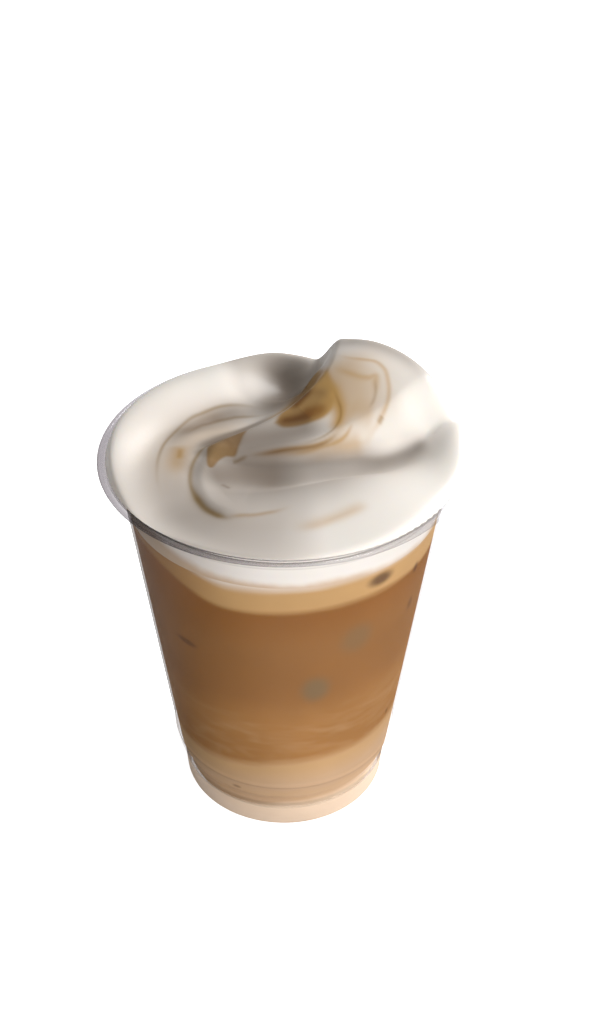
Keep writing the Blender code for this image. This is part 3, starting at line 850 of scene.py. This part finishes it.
def cup_material():
    """Thermoformed PET: clear, thin and hard. It mirrors more and lets less through where it is
    seen along its surface, which draws the bead, the ridge and the silhouette. The foot is
    painted an opaque pale beige: the milk's colour, paled by painted light from the white floor."""
    settings = bpy.context.scene.mocha_cup
    made, tree, shader = new_material("thermoformed clear PET", {
        "Base Color": settings.foot, "Roughness": 0.3})
    at = placed(tree, CUP_SHARES)
    # mirror and dark edge grow where the wall turns away from the eye
    facing = add_node(tree, "LayerWeight", {"Blend": 0.5}).outputs["Facing"]
    steep = add_node(tree, "Math", {0: facing, 1: MIRROR_POWER}, operation="POWER")
    # painted by side: mirror and dark edge fade towards the lit right
    sided = add_node(tree, "Math", {0: steep, 1: at["dim side"]}, operation="MULTIPLY")
    mirror = add_node(tree, "MapRange", {
        "Value": sided, "To Min": MIRROR_SHARES[0], "To Max": MIRROR_SHARES[1]})
    sloped = add_node(tree, "Math", {0: facing, 1: EDGE_POWER}, operation="POWER")
    grazing = add_node(tree, "Math", {0: sloped, 1: at["dim side"]}, operation="MULTIPLY")
    # the edge is as dark as the plastic behind it is deep
    share = add_node(tree, "Math", {0: at["Z"], 1: CUP_HEIGHT}, operation="DIVIDE")
    stops = [(height * MM / CUP_HEIGHT, (tone, tone, tone, 1)) for height, tone in WALL_DEPTHS]
    depths = add_node(tree, "ValToRGB", {"Fac": share}, stops=stops)
    dark = add_node(tree, "Math", {0: grazing, 1: depths.outputs["Color"]}, operation="MULTIPLY")
    dark = add_node(tree, "Math", {0: dark, 1: at["groove"]}, operation="MAXIMUM")
    # the step that a stacked cup rests on shows as a faint line
    step = add_node(tree, "Math", {0: at["Z"], 1: STEP_HEIGHT, 2: STEP_HALF_WIDTH}, operation="COMPARE")
    dark = add_node(tree, "Math", {0: step, 1: STEP_DARKNESS, 2: dark}, operation="MULTIPLY_ADD")
    wall = add_node(tree, "Mix", {SHARE: dark, FIRST: settings.tint, SECOND: settings.edge},
                    data_type="RGBA").outputs[MIXED]
    # the thick bead greys the light through it, with painted shade darkest on the dim side
    gathered = add_node(tree, "Math", {0: at["bead"], 1: at["dim bead"]}, operation="MULTIPLY")
    wall = add_node(tree, "Mix", {SHARE: gathered, FIRST: wall, SECOND: settings.bead},
                    data_type="RGBA", blend_type="MULTIPLY").outputs[MIXED]
    passing = add_node(tree, "BsdfTransparent", {"Color": wall})
    gloss = add_node(tree, "BsdfGlossy", {"Color": settings.tint, "Roughness": settings.roughness})
    clear = add_node(tree, "MixShader", {0: mirror, 1: passing, 2: gloss})
    # painted: the foot is opaque pale beige, standing in for floor light through the clear plastic
    footed = add_node(tree, "MixShader", {0: at["pale_foot"], 1: clear, 2: shader})
    # lamps and scattered light pass straight through, so the drink is lit as if it stood free
    path = add_node(tree, "LightPath")
    lit = add_node(tree, "Math", {0: path.outputs["Is Shadow Ray"], 1: path.outputs["Is Diffuse Ray"]},
                   operation="MAXIMUM")
    open_way = add_node(tree, "BsdfTransparent", {"Color": settings.tint})
    mixed = add_node(tree, "MixShader", {0: lit, 1: footed, 2: open_way})
    tree.links.new(mixed.outputs[0], tree.nodes["Material Output"].inputs["Surface"])
    return made


def board_material():
    """Matt white board: gives back most light and softens every shadow. What the camera sees of
    it directly is a little brighter than what it throws on the cup."""
    settings = bpy.context.scene.mocha_stage
    made, tree, shader = new_material("matt white board", {
        "Base Color": settings.floor, "Roughness": 0.9, "Specular IOR Level": 0,
        "Emission Color": settings.floor})
    path = add_node(tree, "LightPath")
    glow = add_node(tree, "Math", {0: path.outputs["Is Camera Ray"], 1: FLOOR_GLOW}, operation="MULTIPLY")
    tree.links.new(glow.outputs[0], shader.inputs["Emission Strength"])
    return made


def studio_world():
    """White surround, dimmer towards the left, which is plain white where the camera sees it."""
    settings = bpy.context.scene.mocha_stage
    made = bpy.data.worlds.new("white surround")
    made.use_nodes = True
    tree = made.node_tree
    facing = add_node(tree, "TexCoord").outputs["Generated"]
    across = add_node(tree, "SeparateXYZ", {0: facing}).outputs["X"]
    level = add_node(tree, "MapRange", {
        "Value": across, "From Min": -1, "From Max": 1,
        "To Min": settings.dim_side, "To Max": settings.bright_side})
    path = add_node(tree, "LightPath")
    seen = add_node(tree, "Mix", {"Factor": path.outputs["Is Camera Ray"], "A": level, "B": 1.0})
    background = tree.nodes["Background"]
    tree.links.new(seen.outputs[0], background.inputs["Strength"])
    background.inputs["Color"].default_value = (1, 1, 1, 1)
    return made


class MOCHA_OT_cup(bpy.types.Operator):
    """Add the clear cup with its bead, stacking ridge and foot"""
    bl_idname = "mocha.cup"
    bl_label = "Add Cup"

    def execute(self, context):
        cup = turned("clear_cup", cup_profile(), context.scene.mocha_cup.steps)
        finished(cup, cup_material(), "clear_plastic", "cup")
        return {"FINISHED"}


class MOCHA_OT_drink(bpy.types.Operator):
    """Add the milk, the mocha and the caramel froth, each a closed layer that touches the wall"""
    bl_idname = "mocha.drink"
    bl_label = "Add Drink"

    def execute(self, context):
        layers = [("sunken_milk", FLOOR_TOP - REACH, MILK_TOP, "milk", "milk_layer"),
                  ("iced_mocha", MILK_TOP, MOCHA_TOP, "mocha", "mocha_layer"),
                  ("stained_froth", MOCHA_TOP, CARAMEL_TOP, "caramel_froth", "caramel_froth")]
        for name, low, high, slot, node in layers:
            profile = layer_side(low, high) + [(0, low)]
            layer = turned(name, profile, context.scene.mocha_drink.steps)
            finished(layer, drink_material(name.replace("_", " ")), slot, node)
        return {"FINISHED"}


class MOCHA_OT_foam(bpy.types.Operator):
    """Add the milk foam with its heap, folds, marbling and painted shade"""
    bl_idname = "mocha.foam"
    bl_label = "Add Foam"

    def execute(self, context):
        edge = FOAM_EDGE_RADIUS * MM
        edge_height = CUP_HEIGHT - FOAM_EDGE_DROP * MM
        radii = [edge * (1 - (1 - i / FOAM_RINGS) ** RING_CROWDING) for i in range(1, FOAM_RINGS + 1)]
        side = layer_side(CARAMEL_TOP, CUP_HEIGHT - BEAD_RADIUS)[1:]
        profile = [(r, edge_height) for r in radii] + side + [(0, CARAMEL_TOP)]
        foam = turned("folded_milk_foam", profile, FOAM_STEPS)
        bpy.ops.object.mode_set(mode="EDIT")
        bpy.ops.mesh.select_all(action="SELECT")
        bpy.ops.mesh.subdivide(number_cuts=FOAM_CUTS)
        bpy.ops.object.mode_set(mode="OBJECT")
        points = np.empty(3 * len(foam.data.vertices))
        foam.data.vertices.foreach_get("co", points)
        points = points.reshape(-1, 3)
        top = points[:, 2] > edge_height - LEVEL_TOLERANCE
        places = points[top, :2] / MM
        moved, heights = foam_surface(places)
        # the shade layer is painted shade; caramel and coffee are streaks in the foam
        for name, marbling in (("shade", (SHADE_STROKES,)), ("caramel", (CARAMEL_STROKES, CARAMEL_PATCHES)),
                               ("coffee", (COFFEE_STROKES,))):
            shares = np.zeros(len(points))
            shares[top] = painted(places, *marbling)
            foam.data.attributes.new(name, "FLOAT", "POINT").data.foreach_set("value", shares)
        points[top] = np.column_stack([moved * MM, CUP_HEIGHT + heights * MM])
        foam.data.vertices.foreach_set("co", points.ravel())
        foam.data.update()
        # foam has no sharp creases: relax the top, and hold its edge
        inner = foam.vertex_groups.new(name="top")
        inside = np.flatnonzero(top & (np.hypot(points[:, 0], points[:, 1]) < RELAX_RADIUS))
        inner.add(inside.tolist(), 1, "REPLACE")
        relax = foam.modifiers.new("relax", "SMOOTH")
        relax.factor = 0.5
        relax.iterations = RELAX_STEPS
        relax.vertex_group = "top"
        bpy.ops.object.modifier_apply(modifier="relax")
        finished(foam, foam_material(), "milk_foam", "milk_foam")
        return {"FINISHED"}


class MOCHA_OT_stage(bpy.types.Operator):
    """Add the pale floor, the soft lights and the camera"""
    bl_idname = "mocha.stage"
    bl_label = "Add Stage"

    def execute(self, context):
        settings = context.scene.mocha_stage
        scene = context.scene
        bpy.ops.object.select_all(action="DESELECT")
        bpy.ops.mesh.primitive_plane_add(size=FLOOR_SIZE, location=(0, 0, 0))
        floor = context.object
        floor.name = "pale_floor"
        floor.data.materials.append(board_material())
        scene.world = studio_world()
        rim_middle = Vector((0, 0, CUP_HEIGHT))
        for name, azimuth, height, power in (
                ("soft_key", settings.key_azimuth, settings.key_elevation, settings.key_power),
                ("soft_fill", settings.fill_azimuth, settings.fill_elevation, settings.fill_power)):
            side = Vector((cos(height) * cos(azimuth), cos(height) * sin(azimuth), sin(height)))
            bpy.ops.object.light_add(type="AREA", location=rim_middle + LIGHT_DISTANCE * side)
            lamp = context.object
            lamp.name = name
            lamp.data.size = LIGHT_SIZE
            lamp.data.energy = power
            lamp.rotation_euler = side.to_track_quat("Z", "Y").to_euler()
        elevation = settings.elevation
        back, up = settings.distance * cos(elevation), settings.distance * sin(elevation)
        bpy.ops.object.camera_add(location=rim_middle + Vector((0, -back, up)),
                                  rotation=(pi / 2 - elevation - settings.aim, 0, 0))
        camera = context.object
        camera.name = "picture_camera"
        camera.data.sensor_width = SENSOR
        camera.data.lens = LENS_PIXELS * SENSOR / PICTURE_HEIGHT
        camera.data.shift_x = (PICTURE_WIDTH / 2 - AXIS_PIXEL) / PICTURE_HEIGHT
        camera.data.clip_start = 0.01
        scene.camera = camera
        scene.view_settings.view_transform = "Standard"
        return {"FINISHED"}


class MOCHA_PT_panel(bpy.types.Panel):
    """The pieces of the drink and their settings"""
    bl_label = "Iced Cafe Mocha"
    bl_space_type = "VIEW_3D"
    bl_region_type = "UI"
    bl_category = "Drink"

    def draw(self, context):
        for piece in SETTINGS:
            settings = getattr(context.scene, "mocha_" + piece)
            box = self.layout.box()
            box.operator("mocha." + piece)
            for name in settings.__annotations__:
                box.prop(settings, name)


SETTINGS = {"cup": CupSettings, "drink": DrinkSettings, "foam": FoamSettings, "stage": StageSettings}
CLASSES = (*SETTINGS.values(), MOCHA_OT_cup, MOCHA_OT_drink, MOCHA_OT_foam, MOCHA_OT_stage, MOCHA_PT_panel)


def register():
    for made in CLASSES:
        bpy.utils.register_class(made)
    for piece, group in SETTINGS.items():
        setattr(bpy.types.Scene, "mocha_" + piece, PointerProperty(type=group))


def unregister():
    for piece in SETTINGS:
        delattr(bpy.types.Scene, "mocha_" + piece)
    for made in reversed(CLASSES):
        bpy.utils.unregister_class(made)


def main():
    register()
    bpy.ops.mocha.stage()
    bpy.ops.mocha.cup()
    bpy.ops.mocha.drink()
    bpy.ops.mocha.foam()


if __name__ == "__main__":
    main()
